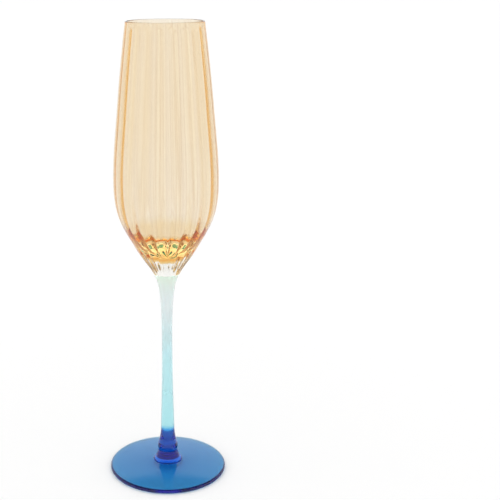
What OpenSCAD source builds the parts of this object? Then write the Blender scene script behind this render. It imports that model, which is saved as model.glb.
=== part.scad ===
// Champagne flute with an optic cup, an opal stem and a blue foot.
// Six glass pieces, stacked on one axis and fused face to face. The cup sits in a hollow of the button.
// Millimetres, +Z up, origin at the centre of the circle that the foot rests on.

/* [Cup] */
// Height of the rim above the table
rim_z = 275; // [265:1:285]
// Outer diameter at the rim
rim_d = 45; // [42:0.2:48]
// Height of the long upper flank, part way down the cup
flank_z = 225; // [220:1:230]
// Outer diameter at the flank
flank_d = 55.8; // [54:0.2:58]
// Height of the widest part of the cup
belly_z = 184.5; // [180:0.5:190]
// Outer diameter at the widest part
belly_d = 61.6; // [60:0.2:64]
// Height of the shoulder, where the cup turns in towards the stem
shoulder_z = 158.5; // [156:0.5:162]
// Outer diameter at the shoulder
shoulder_d = 52.6; // [51:0.2:54]
// Wall thickness at the rim
rim_wall = 1.2; // [1:0.1:2]
// Wall thickness at the shoulder
shoulder_wall = 0.9; // [0.8:0.1:1.4]
// Height of the lowest point inside the cup
cup_floor_z = 141; // [140:0.1:143]
// Thickness of the cup's floor in the middle
cup_floor = 3; // [2:0.1:4]

/* [Button under the cup] */
// Height up to which the button clasps the cup on the outside
clasp_z = 152; // [150:0.5:154]
// Height of the narrow end of the cone below the shoulder
cone_z = 140.5; // [139:0.5:142]
// Diameter there
cone_d = 32.6; // [31:0.2:34]

/* [Stem] */
// Height of the joint between the button and the stem
stem_top_z = 128; // [126:0.5:130]
// Diameter at that joint
stem_top_d = 16; // [15:0.2:17]
// Height at which the flare under the cup has run out
neck_z = 112.5; // [108:0.5:114]
// Diameter there
neck_d = 8.2; // [7.6:0.1:8.8]
// Height of the thinnest part of the stem
waist_z = 72; // [60:1:85]
// Diameter of the thinnest part
waist_d = 6.4; // [5.8:0.1:7]
// Height of the joint between the stem and the hub
stem_end_z = 27; // [25:0.5:29]
// Diameter at that joint
stem_end_d = 8.3; // [7.8:0.1:8.8]
// How far the stem's lower end is domed into the hub
stem_dome = 0.8; // [0.4:0.1:1.2]

/* [Hub and collar] */
// Height of the joint between the hub and the collar
collar_top_z = 16.5; // [15.5:0.1:17]
// Height of the joint between the collar and the foot
collar_foot_z = 12.6; // [12:0.1:13]
// Diameter of the creases above and below the collar
crease_d = 11.7; // [11:0.1:12]
// How far the collar bulges out past its creases
collar_bulge = 0.3; // [0.2:0.05:0.6]

/* [Foot] */
// Diameter of the foot
foot_d = 72; // [66:1:78]
// Thickness of the foot's rounded edge
foot_edge = 2.7; // [2.2:0.1:3.4]
// Radius at which the flare round the collar meets the flat of the foot
flare_r = 9.4; // [9:0.1:12]
// Height of the foot's upper face there
flare_z = 5.7; // [5.4:0.1:7]
// Width of the flat ring that touches the table
contact_w = 2.5; // [1.5:0.1:4]
// Height of the hollow under the middle of the foot
hollow_z = 2.4; // [0.8:0.1:2.6]

/* [Hidden] */

$fn = 180;
// Straight steps that stand for each curved stretch of an outline
STEPS = 8;
// Steps in the half round of the rim and in the foot's rounded edge
ROUND_STEPS = 8;
// Steps in the joint between cup and button and in the floor inside the cup
JOINT_STEPS = 16;

// Outer outline from the rim down to the hub's lower joint. Each row is a height, the radius there,
// and how much the radius grows for each millimetre of height.
RIM = [rim_z, rim_d / 2, -0.13];
FLANK = [flank_z, flank_d / 2, -0.09];
BELLY = [belly_z, belly_d / 2, 0];
SHOULDER = [shoulder_z, shoulder_d / 2, 0.46];
CONE = [cone_z, cone_d / 2, 0.6];
STEM_TOP = [stem_top_z, stem_top_d / 2, 0.55];
NECK = [neck_z, neck_d / 2, 0.09];
WAIST = [waist_z, waist_d / 2, 0];
STEM_END = [stem_end_z, stem_end_d / 2, -0.02];
HUB_FOOT = [collar_top_z, crease_d / 2, -0.29];

// How far the curve inside the cup keeps to the wall, and how far it runs level at the floor
floor_drop = 8;
floor_spread = 3;
// How far the curve under the cup runs level in the middle, how far it keeps to its direction at
// the clasp's edge, and that direction as radius gained for each millimetre of height
under_spread = 3;
under_drop = 4;
under_slope = 0.85;

lip_r = rim_wall / 2;
edge_r = foot_edge / 2;
foot_r = foot_d / 2;
contact_r = foot_r - edge_r;
hollow_r = contact_r - contact_w;
// Slope of the foot's upper face at its edge and where the flare starts
edge_slope = 0.185;
flare_slope = 0.08;
// How far the flare keeps to the foot, and then to the boss, before it turns
flare_pull = 0.36;

// Radius at height z on the smooth curve between two rows of the outline
function radius_between(a, b, z) =
    let (span = b[0] - a[0], t = (z - a[0]) / span)
    (2 * pow(t, 3) - 3 * pow(t, 2) + 1) * a[1]
    + (pow(t, 3) - 2 * pow(t, 2) + t) * span * a[2]
    + (3 * pow(t, 2) - 2 * pow(t, 3)) * b[1]
    + (pow(t, 3) - pow(t, 2)) * span * b[2];

// Points [radius, height] from row a to row b, without the last one
function stretch(a, b, steps = STEPS) = [
    for (i = [0 : steps - 1])
        let (z = a[0] + (b[0] - a[0]) * i / steps)
        [radius_between(a, b, z), z]
];

function end_of(a) = [a[1], a[0]];

// Points on the curve that starts at p0 towards p1 and comes into p3 from p2
function bend(p0, p1, p2, p3, steps = STEPS) = [
    for (i = [0 : steps])
        let (t = i / steps, s = 1 - t)
        pow(s, 3) * p0 + 3 * pow(s, 2) * t * p1 + 3 * s * pow(t, 2) * p2 + pow(t, 3) * p3
];

// Points on a circle from angle a0 to angle a1
function arc(centre, r, a0, a1, steps = ROUND_STEPS) = [
    for (i = [0 : steps])
        let (a = a0 + (a1 - a0) * i / steps)
        centre + r * [cos(a), sin(a)]
];

// Row of the cup's inner outline that lies a wall's width inside an outer row
function inside(row, wall) = [row[0], row[1] - wall * sqrt(1 + pow(row[2], 2)), row[2]];

// Row of the outline at the clasp's edge, between the cone and the shoulder. Its slope is that of
// the chord to a point just below it.
clasp_step = 0.1;
clasp_r = radius_between(CONE, SHOULDER, clasp_z);
clasp = [clasp_z, clasp_r, (clasp_r - radius_between(CONE, SHOULDER, clasp_z - clasp_step)) / clasp_step];

function after_first(points) = [for (i = [1 : len(points) - 1]) points[i]];

module turned(points) {
    rotate_extrude() polygon(points);
}

// Points along the joint between cup and button, from the axis out to the side
function cup_joint() =
    let (edge = [clasp[1], clasp_z], low = cup_floor_z - cup_floor)
    bend(
        [0, low],
        [under_spread, low],
        edge - under_drop * [under_slope, 1],
        edge,
        JOINT_STEPS
    );

// Thin blown cup, drawn to a rounded point at the bottom
module bowl() {
    lip = [rim_z - lip_r, rim_d / 2, RIM[2]];
    belly_wall = (rim_wall + shoulder_wall) / 2;
    lip_in = [lip[0], lip[1] - rim_wall, lip[2]];
    flank_in = inside(FLANK, rim_wall);
    belly_in = inside(BELLY, belly_wall);
    shoulder_in = inside(SHOULDER, shoulder_wall);
    wall_end = end_of(shoulder_in);
    color([0.95, 0.75, 0.48, 0.6])
    turned(concat(
        cup_joint(),
        after_first(stretch(clasp, SHOULDER)),
        stretch(SHOULDER, BELLY),
        stretch(BELLY, FLANK),
        stretch(FLANK, lip),
        arc([rim_d / 2 - lip_r, lip[0]], lip_r, 0, 180),
        stretch(lip_in, flank_in),
        stretch(flank_in, belly_in),
        stretch(belly_in, shoulder_in),
        bend(
            wall_end,
            wall_end - floor_drop * [SHOULDER[2], 1],
            [floor_spread, cup_floor_z],
            [0, cup_floor_z],
            JOINT_STEPS
        )
    ));
}

// Solid, nearly clear cone that clasps the bottom of the cup
module button() {
    joint = cup_joint();
    color([0.97, 0.95, 0.85, 0.5])
    turned(concat(
        [[0, stem_top_z]],
        stretch(STEM_TOP, CONE),
        stretch(CONE, clasp),
        [for (i = [len(joint) - 1 : -1 : 0]) joint[i]]
    ));
}

// Height of the domed joint between stem and hub, at a distance r from the axis
function dome_z(r) = stem_end_z - stem_dome * (1 - pow(r / STEM_END[1], 2));

// Points along the domed joint from the axis out to the side
function dome_points() = [
    for (i = [0 : STEPS - 1])
        let (r = STEM_END[1] * i / STEPS)
        [r, dome_z(r)]
];

// Drawn opal rod, flared at the top, domed at the bottom
module stem() {
    color([0.85, 0.96, 0.96])
    turned(concat(
        dome_points(),
        stretch(STEM_END, WAIST),
        stretch(WAIST, NECK),
        stretch(NECK, STEM_TOP),
        [end_of(STEM_TOP), [0, stem_top_z]]
    ));
}

// Blue cone that carries the stem
module hub() {
    dome = dome_points();
    color([0.12, 0.36, 0.66, 0.8])
    turned(concat(
        [[0, collar_top_z]],
        stretch(HUB_FOOT, STEM_END),
        [end_of(STEM_END)],
        [for (i = [len(dome) - 1 : -1 : 0]) dome[i]]
    ));
}

// Points along the hollow under the foot, from its highest point on the axis out to the contact ring
function hollow_points() = [
    for (i = [0 : STEPS])
        let (r = hollow_r * i / STEPS)
        [r, hollow_z * (1 - pow(r / hollow_r, 2))]
];

// Low bead between the hub and the foot
module collar() {
    half_h = (collar_top_z - collar_foot_z) / 2;
    // The radius of the bead's rounding follows from its height and its bulge
    bead_r = (pow(half_h, 2) + pow(collar_bulge, 2)) / (2 * collar_bulge);
    bead_a = asin(half_h / bead_r);
    color([0.2, 0.45, 0.75, 0.8])
    turned(concat(
        [[0, collar_foot_z]],
        arc(
            [crease_d / 2 + collar_bulge - bead_r, collar_foot_z + half_h],
            bead_r, -bead_a, bead_a
        ),
        [[0, collar_top_z]]
    ));
}

// Disc that the flute stands on, flared up to the collar and slightly hollow underneath
module foot() {
    boss = [crease_d / 2, collar_foot_z];
    flare = [flare_r, flare_z];
    edge_top = [contact_r, foot_edge];
    run = (contact_r - flare_r) / 3;
    rise = [flare_r - boss[0], collar_foot_z - flare_z];
    color([0.27, 0.5, 0.78, 0.8])
    turned(concat(
        hollow_points(),
        arc([contact_r, edge_r], edge_r, -90, 90),
        after_first(bend(
            edge_top,
            edge_top + run * [-1, edge_slope],
            flare + run * [1, -flare_slope],
            flare
        )),
        after_first(bend(
            flare,
            flare + flare_pull * rise[0] * [-1, flare_slope],
            boss - flare_pull * [0, rise[1]],
            boss
        )),
        [[0, collar_foot_z]]
    ));
}

bowl();
button();
stem();
hub();
collar();
foot();
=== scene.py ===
"""Champagne flute: the finished glass pieces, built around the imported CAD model. Metres, +Z up."""

import math

import bpy
import numpy as np
from mathutils import Matrix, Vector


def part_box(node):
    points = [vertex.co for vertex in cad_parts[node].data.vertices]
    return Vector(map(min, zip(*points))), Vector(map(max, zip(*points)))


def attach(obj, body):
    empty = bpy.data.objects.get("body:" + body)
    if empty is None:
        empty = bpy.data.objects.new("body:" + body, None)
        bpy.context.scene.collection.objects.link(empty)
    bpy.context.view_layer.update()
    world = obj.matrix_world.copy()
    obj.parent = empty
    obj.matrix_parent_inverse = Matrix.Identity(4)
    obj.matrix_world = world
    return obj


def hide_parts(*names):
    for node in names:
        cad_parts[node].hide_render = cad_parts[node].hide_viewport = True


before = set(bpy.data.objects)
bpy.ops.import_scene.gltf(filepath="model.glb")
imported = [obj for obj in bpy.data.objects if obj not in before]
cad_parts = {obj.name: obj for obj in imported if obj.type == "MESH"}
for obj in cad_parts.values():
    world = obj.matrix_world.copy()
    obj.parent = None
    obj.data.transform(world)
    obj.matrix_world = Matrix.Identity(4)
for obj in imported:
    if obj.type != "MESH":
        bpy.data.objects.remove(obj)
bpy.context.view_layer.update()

MM = 0.001

# ---------------------------------------------------------------- sizes

rim_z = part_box("bowl")[1].z
belly_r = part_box("bowl")[1].x
stem_top_z, clasp_z = (corner.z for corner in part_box("button"))
stem_top_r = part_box("stem")[1].x
collar_top_z, stem_end_z = (corner.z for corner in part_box("hub"))
crease_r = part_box("hub")[1].x
collar_foot_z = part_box("foot")[1].z
collar_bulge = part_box("collar")[1].x - crease_r
foot_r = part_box("foot")[1].x

# Outer outline, from the rim down to the collar: height, radius, radius gained per unit of height
RIM = (rim_z, 22.5 * MM, -0.13)
FLANK = (225 * MM, 27.9 * MM, -0.09)
BELLY = (184.5 * MM, belly_r, 0)
SHOULDER = (158.5 * MM, 26.3 * MM, 0.46)
CONE = (140.5 * MM, 16.3 * MM, 0.6)
STEM_TOP = (stem_top_z, stem_top_r, 0.55)
NECK = (112.5 * MM, 4.1 * MM, 0.09)
WAIST = (72 * MM, 3.2 * MM, 0)
STEM_END = (stem_end_z, 4.15 * MM, -0.02)
HUB_FOOT = (collar_top_z, crease_r, -0.29)

# Inside of the cup: its wall, its floor, how far the floor's curve keeps to the wall, and how far
# it runs level in the middle
RIM_WALL = 1.2 * MM
SHOULDER_WALL = 0.9 * MM
CUP_FLOOR_Z = 141 * MM
FLOOR_DROP = 8 * MM
FLOOR_SPREAD = 3 * MM

# Joint between cup and button: the thickness of the cup's floor, how far the joint runs level in the
# middle, how far it keeps to its direction at the clasp's edge, and that direction as a slope
CUP_FLOOR = 3 * MM
UNDER_SPREAD = 3 * MM
UNDER_DROP = 4 * MM
UNDER_SLOPE = 0.85

STEM_DOME = 0.8 * MM
# The clear core that shows in the stem's top face: its radius, how soft its edge is, and how far
# down from the top counts as the face
CORE_R = 4.5 * MM
CORE_BLUR = 0.2 * MM
TOP_FACE = 0.02 * MM
# How brightly the milky ring round the core shows: a painted glow, light given off for the light
# that opal glass scatters inside it
TOP_RING_PAINTED_GLOW = 1.2

# Foot: how thick its edge is, where the flare begins (radius and height), the ring on which it
# rests, the hollow inside that ring, the slopes of its top at the edge and at the flare, and how
# far the flare keeps to its direction at both ends
FOOT_EDGE = 2.7 * MM
FLARE = (9.4 * MM, 5.7 * MM)
CONTACT_W = 2.5 * MM
HOLLOW_Z = 2.4 * MM
EDGE_SLOPE = 0.185
FLARE_SLOPE = 0.08
FLARE_PULL = 0.36

# Optic ribs inside the cup: how many, how finely each is meshed, how far they are turned, and how
# deep the valleys between them are in the cup's wall and in its floor
RIBS = 20
RIB_STEPS = 16
RIB_TURN = math.radians(-7)
RIB_DEPTH_WALL = 0.4 * MM
RIB_DEPTH_FLOOR = 0.55 * MM
# How round the valleys are: small for a sharp crease, large for a wave
RIB_SOFT = 0.05
# The ribs start below the rim and run out on the floor, between these distances
RIB_START = 0.5 * MM
RIB_START_FULL = 6 * MM
FLOOR_RIB_END = 1.5 * MM
FLOOR_RIB_FULL = 8 * MM
# The same ribs on the outside of the button, and the length over which they fade at its two ends
BUTTON_RIB_DEPTH = 0.3 * MM
BUTTON_RIB_FADE = 8 * MM

# Points along the stretches of an outline, and round each piece
CLASP_STEPS = 12
SIDE_STEPS = 24
FLANK_STEPS = 28
FLOOR_STEPS = 48
STEM_TOP_STEPS = 30
STEM_STEPS = 40
CUP_JOINT_STEPS = 32
DOME_STEPS = 10
FLAT_STEPS = 4
RIM_STEPS = 10
BEAD_STEPS = 16
HOLLOW_STEPS = 24
FOOT_EDGE_STEPS = 20
FOOT_TOP_STEPS = 40
STEM_AROUND = 128
FOOT_AROUND = 256
# Faces that meet at more than this angle show a sharp edge
SHARP_ANGLE = math.radians(40)

# Points closer than this are one point
SAME_POINT = 1e-9
# Gap between two fused faces, so that they never share one plane
JOINT_GAP = 0.004 * MM
# The floor lies a little under the foot, and reaches this far each way
FLOOR_Z = -0.1 * MM
FLOOR_REACH = 40
FLOOR_COLOUR = (0.98, 0.98, 0.98, 1)

GLASS_IOR = 1.5
# The cup's tint in a dark and in a light streak, between which noise values it changes from one to
# the other, and how fine the streaks are. The darker tint is painted shade as well: it darkens the
# whole cup for the dim surroundings that the glass shows.
STREAK_PAINTED_SHADE = (0.87, 0.81, 0.77)
STREAK_LIGHT = (1, 1, 1)
STREAK_RANGE = (0.25, 0.75)
STREAK_SCALE = 28
# The colour that each glass takes on with depth, and how strongly
AMBER_CLEAR = (0.975, 0.7125, 0.0625)
AMBER_DENSITY = 185
BLUE_CLEAR = (0.1, 0.735, 0.95)
BLUE_DENSITY = 490
PALE_CLEAR = (0.98, 0.9, 0.5)
PALE_DENSITY = 6
OPAL_CLEAR = (0.05, 0.8, 0.85)
OPAL_DENSITY = 80
# Along the stem, from 0 at its lower end to 1 at its top: the colour, and how clear the glass is
OPAL_COLOURS = (
    (0, (0.8, 0.97, 1)),
    (0.5, (0.85, 0.97, 1)),
    (0.85, (0.97, 0.97, 0.95)),
    (1, (1, 0.95, 0.8)),
)
OPAL_CLEARNESS = ((0, 0.9), (0.45, 0.8), (0.8, 0.3), (1, 0.3))

# Opal glass: its gloss, how much of the light it scatters and how far light spreads in it
OPAL_ROUGHNESS = 0.08
OPAL_SCATTER = 0.5
OPAL_DEPTH = 3 * MM

# Unevenness of the glass surfaces: its strength and height, and for each glass how fine it is and
# how little it is drawn out in height (1 is not at all)
WAVE_STRENGTH = 0.15
WAVE_HEIGHT = 0.1 * MM
AMBER_WAVES = (500, 0.03)
PALE_WAVES = (200, 0.3)
BLUE_WAVES = (150, 1)
OPAL_WAVES = (400, 0.1)

# The studio is white up to one height in the sky and dim above the other. Heights are sines of the
# angle above the horizon. What lights the floor has one strength straight from the studio and
# another by way of a reflection.
WORLD_BRIGHT_TO = 0.62
WORLD_DARK_FROM = 0.68
WORLD_DARK = 0.3
WORLD_LIGHT = 1.04
WORLD_MIRRORED = 0.95

# The camera's place in metres, its downward angle and lean in degrees, its lens and sensor in
# millimetres, and its sideways shift as a share of the sensor
CAMERA_AWAY = 0.5654
CAMERA_UP = 0.3047
CAMERA_PITCH = 16.05
CAMERA_ROLL = -0.4
CAMERA_LENS = 71.27
CAMERA_SENSOR = 36
CAMERA_SHIFT = 0.167


# ---------------------------------------------------------------- outlines

def radius_between(a, b, z):
    """Radius at height z on the smooth curve between two rows of the outline."""
    span = b[0] - a[0]
    t = (z - a[0]) / span
    return (
        (2 * t**3 - 3 * t**2 + 1) * a[1]
        + (t**3 - 2 * t**2 + t) * span * a[2]
        + (3 * t**2 - 2 * t**3) * b[1]
        + (t**3 - t**2) * span * b[2]
    )


def stretch(a, b, steps):
    """Points (radius, height) from row a to row b, without the last one."""
    heights = [a[0] + (b[0] - a[0]) * i / steps for i in range(steps)]
    return [(radius_between(a, b, z), z) for z in heights]


def bend(p0, p1, p2, p3, steps):
    """Points on the curve that starts at p0 towards p1 and comes into p3 from p2."""
    p0, p1, p2, p3 = (np.array(p, float) for p in (p0, p1, p2, p3))
    points = []
    for i in range(steps + 1):
        t = i / steps
        s = 1 - t
        points.append(tuple(s**3 * p0 + 3 * s**2 * t * p1 + 3 * s * t**2 * p2 + t**3 * p3))
    return points


def arc(centre, radius, start, end, steps):
    """Points on a circle from one angle to another, in degrees."""
    angles = [math.radians(start + (end - start) * i / steps) for i in range(steps + 1)]
    return [(centre[0] + radius * math.cos(a), centre[1] + radius * math.sin(a)) for a in angles]


def inside(row, wall):
    """The row of the inner outline that lies a wall's width inside an outer row."""
    return (row[0], row[1] - wall * math.sqrt(1 + row[2] ** 2), row[2])


def end_of(row):
    return (row[1], row[0])


def clasp_row(gap=0):
    """The outline's row at the edge of the clasp, or a little below it."""
    z = clasp_z - gap
    r = radius_between(CONE, SHOULDER, z)
    step = 0.1 * MM
    return (z, r, (r - radius_between(CONE, SHOULDER, z - step)) / step)


def cup_joint(gap=0):
    """The joint where the button clasps the cup, from the axis out to the side."""
    edge_z, edge_r, _ = clasp_row()
    low = CUP_FLOOR_Z - CUP_FLOOR
    curve = bend(
        (0, low),
        (UNDER_SPREAD, low),
        (edge_r - UNDER_DROP * UNDER_SLOPE, edge_z - UNDER_DROP),
        (edge_r, edge_z),
        CUP_JOINT_STEPS,
    )
    return [(r, z - gap) for r, z in curve]


def stem_joint(gap=0):
    """The domed joint between stem and hub, from the axis out to the side."""
    shares = [i / DOME_STEPS for i in range(DOME_STEPS + 1)]
    return [(STEM_END[1] * x, stem_end_z - STEM_DOME * (1 - x**2) - gap) for x in shares]


def flat(radius, height):
    """A flat joint, from the axis out to the side."""
    return [(radius * i / FLAT_STEPS, height) for i in range(FLAT_STEPS + 1)]


def bowl_section():
    lip_r = RIM_WALL / 2
    lip = (rim_z - lip_r, RIM[1], RIM[2])
    lip_in = (lip[0], lip[1] - RIM_WALL, lip[2])
    flank_in = inside(FLANK, RIM_WALL)
    belly_in = inside(BELLY, (RIM_WALL + SHOULDER_WALL) / 2)
    shoulder_in = inside(SHOULDER, SHOULDER_WALL)
    wall_end = end_of(shoulder_in)
    outer = (
        stretch(clasp_row(), SHOULDER, CLASP_STEPS)
        + stretch(SHOULDER, BELLY, SIDE_STEPS)
        + stretch(BELLY, FLANK, SIDE_STEPS)
        + stretch(FLANK, lip, FLANK_STEPS)
        + [end_of(lip)]
    )
    inner = (
        stretch(lip_in, flank_in, FLANK_STEPS)
        + stretch(flank_in, belly_in, SIDE_STEPS)
        + stretch(belly_in, shoulder_in, SIDE_STEPS)
        + bend(
            wall_end,
            (wall_end[0] - FLOOR_DROP * SHOULDER[2], wall_end[1] - FLOOR_DROP),
            (FLOOR_SPREAD, CUP_FLOOR_Z),
            (0, CUP_FLOOR_Z),
            FLOOR_STEPS,
        )
    )
    return [
        ("joint", cup_joint()),
        ("outside", outer),
        ("rim", arc((RIM[1] - lip_r, lip[0]), lip_r, 0, 180, RIM_STEPS)),
        ("inside", inner),
    ]


def button_section():
    edge = clasp_row(JOINT_GAP)
    side = (
        stretch(STEM_TOP, CONE, SIDE_STEPS)
        + stretch(CONE, edge, SIDE_STEPS)
        + [end_of(edge)]
    )
    return [
        ("joint", flat(stem_top_r, stem_top_z)),
        ("button side", side),
        ("joint", cup_joint(JOINT_GAP)[::-1]),
    ]


def stem_section():
    top = stem_top_z - JOINT_GAP
    edge = (top, STEM_TOP[1], STEM_TOP[2])
    side = (
        stretch(STEM_END, WAIST, STEM_STEPS)
        + stretch(WAIST, NECK, STEM_STEPS)
        + stretch(NECK, edge, STEM_TOP_STEPS)
        + [end_of(edge)]
    )
    return [
        ("joint", stem_joint()),
        ("outside", side),
        ("joint", flat(stem_top_r, top)[::-1]),
    ]


def hub_section():
    edge = (stem_end_z - JOINT_GAP, STEM_END[1], STEM_END[2])
    return [
        ("joint", flat(crease_r, collar_top_z)),
        ("outside", stretch(HUB_FOOT, edge, SIDE_STEPS) + [end_of(edge)]),
        ("joint", stem_joint(JOINT_GAP)[::-1]),
    ]


def collar_section():
    top = collar_top_z - JOINT_GAP
    half = (top - collar_foot_z) / 2
    bead_r = (half**2 + collar_bulge**2) / (2 * collar_bulge)
    bead_a = math.degrees(math.asin(half / bead_r))
    middle = (crease_r + collar_bulge - bead_r, collar_foot_z + half)
    return [
        ("joint", flat(crease_r, collar_foot_z)),
        ("outside", arc(middle, bead_r, -bead_a, bead_a, BEAD_STEPS)),
        ("joint", flat(crease_r, top)[::-1]),
    ]


def foot_section():
    top = collar_foot_z - JOINT_GAP
    edge_r = FOOT_EDGE / 2
    contact_r = foot_r - edge_r
    hollow_r = contact_r - CONTACT_W
    run = (contact_r - FLARE[0]) / 3
    rise_r, rise_z = FLARE[0] - crease_r, top - FLARE[1]
    shares = [i / HOLLOW_STEPS for i in range(HOLLOW_STEPS + 1)]
    upper = bend(
        (contact_r, FOOT_EDGE),
        (contact_r - run, FOOT_EDGE + run * EDGE_SLOPE),
        (FLARE[0] + run, FLARE[1] - run * FLARE_SLOPE),
        FLARE,
        FOOT_TOP_STEPS,
    )
    flare = bend(
        FLARE,
        (FLARE[0] - FLARE_PULL * rise_r, FLARE[1] + FLARE_PULL * rise_r * FLARE_SLOPE),
        (crease_r, top - FLARE_PULL * rise_z),
        (crease_r, top),
        SIDE_STEPS,
    )
    return [
        ("outside", [(hollow_r * x, HOLLOW_Z * (1 - x**2)) for x in shares]),
        ("outside", arc((contact_r, edge_r), edge_r, -90, 90, FOOT_EDGE_STEPS)),
        ("outside", upper),
        ("outside", flare),
        ("joint", flat(crease_r, top)[::-1]),
    ]


# ---------------------------------------------------------------- meshes

def fade(value, zero_at, one_at):
    """0 at one value, 1 at the other, and smooth in between."""
    t = min(max((value - zero_at) / (one_at - zero_at), 0), 1)
    return t * t * (3 - 2 * t)


def rib_depth(part, r, z):
    """Depth of the valleys between the ribs at one point of a section."""
    if part == "inside":
        to_floor = fade(z, BELLY[0], clasp_z) * (RIB_DEPTH_FLOOR - RIB_DEPTH_WALL)
        start = fade(z, rim_z - RIB_START, rim_z - RIB_START_FULL)
        end = fade(r, FLOOR_RIB_END, FLOOR_RIB_FULL)
        return (RIB_DEPTH_WALL + to_floor) * start * end
    if part == "button side":
        start = fade(z, clasp_z, clasp_z - BUTTON_RIB_FADE)
        end = fade(z, stem_top_z, stem_top_z + BUTTON_RIB_FADE)
        return BUTTON_RIB_DEPTH * start * end
    return 0


def rib_centre(part):
    """Ribs inside the cup stand out as far as their valleys are cut in. On the button they don't."""
    return 0.5 if part == "inside" else 0


def rib_height(angle):
    """Broad round ribs with narrow valleys between them, from 0 in a valley to 1 on a rib."""
    wave = math.cos(RIBS * (angle - RIB_TURN) / 2)
    lowest = math.sqrt(RIB_SOFT)
    return (math.sqrt(wave**2 + RIB_SOFT) - lowest) / (math.sqrt(1 + RIB_SOFT) - lowest)


def turn(name, section, around):
    """A closed mesh turned about the Z axis from a half section that starts and ends on the axis.
    Faces of a joint let light through unbent, as glass does where it is fused to glass."""
    points, parts = [], []
    for part, run in section:
        if points and math.dist(points[-1], run[0]) < SAME_POINT:
            run = run[1:]
        points += run
        parts += [part] * len(run)
    outline = np.array(points)
    tangent = np.gradient(outline, axis=0)
    tangent /= np.linalg.norm(tangent, axis=1, keepdims=True)
    into_glass = np.stack([-tangent[:, 1], tangent[:, 0]], axis=1)
    angles = [2 * math.pi * k / around for k in range(around)]
    valley = np.array([1 - rib_height(a) for a in angles])
    circle = np.array([(math.cos(a), math.sin(a)) for a in angles])
    vertices, faces, ior, rows = [], [], [], []
    for (r, z), part, inward in zip(outline, parts, into_glass):
        if r < SAME_POINT:
            rows.append([len(vertices)])
            vertices.append((0, 0, z))
            continue
        cut = (valley - rib_centre(part)) * rib_depth(part, r, z)
        rows.append(range(len(vertices), len(vertices) + around))
        reach = r + inward[0] * cut
        vertices += zip(circle[:, 0] * reach, circle[:, 1] * reach, z + inward[1] * cut)
    for i, (lower, upper) in enumerate(zip(rows, rows[1:])):
        index = 1.0 if parts[i + 1] == "joint" else GLASS_IOR
        for k in range(around):
            n = (k + 1) % around
            if len(lower) == 1:
                faces.append((lower[0], upper[n], upper[k]))
            elif len(upper) == 1:
                faces.append((lower[k], lower[n], upper[0]))
            else:
                faces.append((lower[k], lower[n], upper[n], upper[k]))
            ior.append(index)
    mesh = bpy.data.meshes.new(name)
    mesh.from_pydata(vertices, [], faces)
    mesh.attributes.new("refraction", "FLOAT", "FACE").data.foreach_set("value", ior)
    mesh.shade_smooth()
    mesh.set_sharp_from_angle(angle=SHARP_ANGLE)
    mesh.update()
    piece = bpy.data.objects.new(name, mesh)
    bpy.context.scene.collection.objects.link(piece)
    return piece


# ---------------------------------------------------------------- materials

def new_material(name):
    material = bpy.data.materials.new(name)
    material.use_nodes = True
    nodes = material.node_tree.nodes
    nodes.clear()
    output = nodes.new("ShaderNodeOutputMaterial")
    surface = nodes.new("ShaderNodeBsdfPrincipled")
    material.node_tree.links.new(surface.outputs["BSDF"], output.inputs["Surface"])
    return material, surface, output


def bend_light(material, surface):
    """Refraction of glass everywhere but on the faces of a fused joint."""
    index = material.node_tree.nodes.new("ShaderNodeAttribute")
    index.attribute_name = "refraction"
    material.node_tree.links.new(index.outputs["Fac"], surface.inputs["IOR"])


def absorb(material, output, clear, density):
    """The colour that the glass takes on with depth."""
    volume = material.node_tree.nodes.new("ShaderNodeVolumeAbsorption")
    volume.inputs["Color"].default_value = (*clear, 1)
    volume.inputs["Density"].default_value = density
    material.node_tree.links.new(volume.outputs["Volume"], output.inputs["Volume"])


def make_ramp(nodes, stops):
    """A colour ramp from a list of positions and colours."""
    ramp = nodes.new("ShaderNodeValToRGB")
    elements = ramp.color_ramp.elements
    while len(elements) < len(stops):
        elements.new(0.5)
    for element, (position, colour) in zip(elements, stops):
        element.position = position
        element.color = (*colour, 1)
    return ramp


def map_range(nodes, from_min, from_max, to_min=0, to_max=1):
    node = nodes.new("ShaderNodeMapRange")
    node.inputs["From Min"].default_value = from_min
    node.inputs["From Max"].default_value = from_max
    node.inputs["To Min"].default_value = to_min
    node.inputs["To Max"].default_value = to_max
    return node


def from_axis(nodes, links, operation):
    """The place on the object without its height, as its length or as a direction."""
    place = nodes.new("ShaderNodeTexCoord")
    level = nodes.new("ShaderNodeVectorMath")
    level.operation = "MULTIPLY"
    level.inputs[1].default_value = (1, 1, 0)
    result = nodes.new("ShaderNodeVectorMath")
    result.operation = operation
    links.new(place.outputs["Object"], level.inputs[0])
    links.new(level.outputs["Vector"], result.inputs[0])
    return result


def waves(material, surface, scale, stretch_z):
    """The faint unevenness of hand-made glass: noise as a bump."""
    nodes, links = material.node_tree.nodes, material.node_tree.links
    place = nodes.new("ShaderNodeTexCoord")
    squeeze = nodes.new("ShaderNodeMapping")
    squeeze.inputs["Scale"].default_value = (1, 1, stretch_z)
    noise = nodes.new("ShaderNodeTexNoise")
    noise.inputs["Scale"].default_value = scale
    noise.inputs["Detail"].default_value = 2
    bump = nodes.new("ShaderNodeBump")
    bump.inputs["Strength"].default_value = WAVE_STRENGTH
    bump.inputs["Distance"].default_value = WAVE_HEIGHT
    links.new(place.outputs["Object"], squeeze.inputs["Vector"])
    links.new(squeeze.outputs["Vector"], noise.inputs["Vector"])
    links.new(noise.outputs["Fac"], bump.inputs["Height"])
    links.new(bump.outputs["Normal"], surface.inputs["Normal"])


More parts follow.
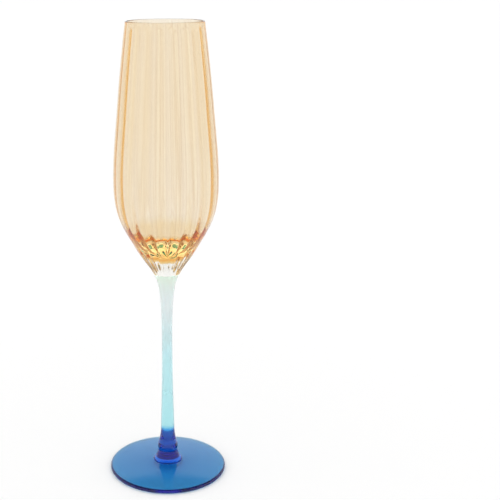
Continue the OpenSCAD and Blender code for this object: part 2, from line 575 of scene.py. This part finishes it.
def streaks_and_painted_shade(material, surface):
    """Fine darker streaks up the cup, from noise round its axis. Their tint is painted shade as
    well:
    it darkens the whole cup for the dim surroundings that the glass shows.
    """
    nodes, links = material.node_tree.nodes, material.node_tree.links
    around = from_axis(nodes, links, "NORMALIZE")
    noise = nodes.new("ShaderNodeTexNoise")
    noise.inputs["Scale"].default_value = STREAK_SCALE
    noise.inputs["Detail"].default_value = 2
    streak_shade_tint = make_ramp(nodes, list(zip(STREAK_RANGE, (STREAK_PAINTED_SHADE, STREAK_LIGHT))))
    links.new(around.outputs["Vector"], noise.inputs["Vector"])
    links.new(noise.outputs["Fac"], streak_shade_tint.inputs["Fac"])
    # Painted shade: the streak tint darkens the cup's glass overall
    links.new(streak_shade_tint.outputs["Color"], surface.inputs["Base Color"])


def clear_glass(name, clear, density, waviness):
    material, surface, output = new_material(name)
    surface.inputs["Transmission Weight"].default_value = 1
    surface.inputs["Base Color"].default_value = (1, 1, 1, 1)
    surface.inputs["Roughness"].default_value = 0
    bend_light(material, surface)
    absorb(material, output, clear, density)
    waves(material, surface, *waviness)
    return material, surface


def amber_glass():
    material, surface = clear_glass("amber_glass", AMBER_CLEAR, AMBER_DENSITY, AMBER_WAVES)
    streaks_and_painted_shade(material, surface)
    return material


def pale_glass():
    return clear_glass("pale_glass", PALE_CLEAR, PALE_DENSITY, PALE_WAVES)[0]


def blue_glass():
    return clear_glass("blue_glass", BLUE_CLEAR, BLUE_DENSITY, BLUE_WAVES)[0]


def milky_top_and_painted_glow(material, surface, height, clear):
    """The stem's top face: milky round a clear core, so that it shows as a bright ring with a dark
    spot. The ring gives off light, a painted glow for the light that opal glass scatters inside it."""
    nodes, links = material.node_tree.nodes, material.node_tree.links
    radius = from_axis(nodes, links, "LENGTH")
    core = map_range(nodes, CORE_R - CORE_BLUR, CORE_R + CORE_BLUR, 1, 0)
    painted_glow_ring = map_range(nodes, 1, 0)
    at_top = nodes.new("ShaderNodeMath")
    at_top.operation = "GREATER_THAN"
    at_top.inputs[1].default_value = stem_top_z - TOP_FACE
    choose = nodes.new("ShaderNodeMix")
    choose.data_type = "FLOAT"
    painted_glow = nodes.new("ShaderNodeMath")
    painted_glow.operation = "MULTIPLY"
    links.new(radius.outputs["Value"], core.inputs["Value"])
    links.new(height, at_top.inputs[0])
    links.new(at_top.outputs["Value"], choose.inputs["Factor"])
    links.new(clear, choose.inputs["A"])
    links.new(core.outputs["Result"], choose.inputs["B"])
    links.new(choose.outputs["Result"], surface.inputs["Transmission Weight"])
    links.new(core.outputs["Result"], painted_glow_ring.inputs["Value"])
    links.new(painted_glow_ring.outputs["Result"], painted_glow.inputs[0])
    links.new(at_top.outputs["Value"], painted_glow.inputs[1])
    # Painted glow: the ring on the top face gives off light, though the glass is no lamp
    links.new(painted_glow.outputs["Value"], surface.inputs["Emission Color"])
    surface.inputs["Emission Strength"].default_value = TOP_RING_PAINTED_GLOW


def opal_glass():
    """White and milky at the top of the stem, turning to clear aqua lower down."""
    material, surface, output = new_material("opal_glass")
    nodes, links = material.node_tree.nodes, material.node_tree.links
    place = nodes.new("ShaderNodeTexCoord")
    split = nodes.new("ShaderNodeSeparateXYZ")
    share = map_range(nodes, stem_end_z, stem_top_z)
    colour = make_ramp(nodes, OPAL_COLOURS)
    clear = make_ramp(nodes, [(position, (value,) * 3) for position, value in OPAL_CLEARNESS])
    links.new(place.outputs["Object"], split.inputs["Vector"])
    links.new(split.outputs["Z"], share.inputs["Value"])
    links.new(share.outputs["Result"], colour.inputs["Fac"])
    links.new(share.outputs["Result"], clear.inputs["Fac"])
    links.new(colour.outputs["Color"], surface.inputs["Base Color"])
    milky_top_and_painted_glow(material, surface, split.outputs["Z"], clear.outputs["Color"])
    surface.inputs["Roughness"].default_value = OPAL_ROUGHNESS
    surface.inputs["Subsurface Weight"].default_value = OPAL_SCATTER
    surface.inputs["Subsurface Radius"].default_value = (OPAL_DEPTH, OPAL_DEPTH, OPAL_DEPTH)
    surface.inputs["Subsurface Scale"].default_value = 1
    bend_light(material, surface)
    absorb(material, output, OPAL_CLEAR, OPAL_DENSITY)
    waves(material, surface, *OPAL_WAVES)
    return material


# ---------------------------------------------------------------- pieces

def add(name, node, material, section, around):
    piece = turn(name, section, around)
    piece.data.materials.append(material)
    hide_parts(node)
    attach(piece, "root")


blue = blue_glass()
add("cup", "bowl", amber_glass(), bowl_section(), RIBS * RIB_STEPS)
add("clear_button", "button", pale_glass(), button_section(), RIBS * RIB_STEPS)
add("drawn_stem", "stem", opal_glass(), stem_section(), STEM_AROUND)
add("cone_hub", "hub", blue, hub_section(), STEM_AROUND)
add("bead_collar", "collar", blue, collar_section(), STEM_AROUND)
add("foot_disc", "foot", blue, foot_section(), FOOT_AROUND)


# ---------------------------------------------------------------- stage, light, camera

def make_floor():
    mesh = bpy.data.meshes.new("floor")
    sides = ((-1, -1), (1, -1), (1, 1), (-1, 1))
    corners = [(x * FLOOR_REACH, y * FLOOR_REACH, FLOOR_Z) for x, y in sides]
    mesh.from_pydata(corners, [], [(0, 1, 2, 3)])
    floor = bpy.data.objects.new("floor", mesh)
    bpy.context.scene.collection.objects.link(floor)
    material, surface, _ = new_material("floor")
    surface.inputs["Base Color"].default_value = FLOOR_COLOUR
    surface.inputs["Roughness"].default_value = 1
    surface.inputs["Specular IOR Level"].default_value = 0
    mesh.materials.append(material)


def make_world():
    """White all round and dimmer high overhead. What lights the floor is even and white."""
    world = bpy.data.worlds.new("studio")
    world.use_nodes = True
    nodes, links = world.node_tree.nodes, world.node_tree.links
    nodes.clear()
    output = nodes.new("ShaderNodeOutputWorld")
    background = nodes.new("ShaderNodeBackground")
    place = nodes.new("ShaderNodeTexCoord")
    split = nodes.new("ShaderNodeSeparateXYZ")
    overhead = map_range(nodes, WORLD_BRIGHT_TO, WORLD_DARK_FROM, 1, WORLD_DARK)
    path = nodes.new("ShaderNodeLightPath")
    lit = nodes.new("ShaderNodeMath")
    lit.operation = "GREATER_THAN"
    lit.inputs[1].default_value = 0.5
    mirrored = map_range(nodes, 0, 1, WORLD_LIGHT, WORLD_MIRRORED)
    mix = nodes.new("ShaderNodeMix")
    mix.data_type = "FLOAT"
    links.new(place.outputs["Generated"], split.inputs["Vector"])
    links.new(split.outputs["Z"], overhead.inputs["Value"])
    links.new(path.outputs["Diffuse Depth"], lit.inputs[0])
    links.new(path.outputs["Glossy Depth"], mirrored.inputs["Value"])
    links.new(lit.outputs["Value"], mix.inputs["Factor"])
    links.new(overhead.outputs["Result"], mix.inputs["A"])
    links.new(mirrored.outputs["Result"], mix.inputs["B"])
    links.new(mix.outputs["Result"], background.inputs["Color"])
    links.new(background.outputs["Background"], output.inputs["Surface"])
    bpy.context.scene.world = world


def make_camera():
    """Looks down at the flute, which stands left of the middle and leans a little to the left."""
    data = bpy.data.cameras.new("camera")
    data.sensor_width = CAMERA_SENSOR
    data.lens = CAMERA_LENS
    data.shift_x = CAMERA_SHIFT
    camera = bpy.data.objects.new("camera", data)
    camera.matrix_world = (
        Matrix.Translation((0, -CAMERA_AWAY, CAMERA_UP))
        @ Matrix.Rotation(math.radians(90 - CAMERA_PITCH), 4, "X")
        @ Matrix.Rotation(math.radians(CAMERA_ROLL), 4, "Z")
    )
    bpy.context.scene.collection.objects.link(camera)
    bpy.context.scene.camera = camera


make_floor()
make_world()
make_camera()

scene = bpy.context.scene
scene.view_settings.view_transform = "Standard"
scene.cycles.max_bounces = 32
scene.cycles.transmission_bounces = 24
scene.cycles.glossy_bounces = 16
scene.cycles.transparent_max_bounces = 16
scene.cycles.use_denoising = True
scene.cycles.seed = 1
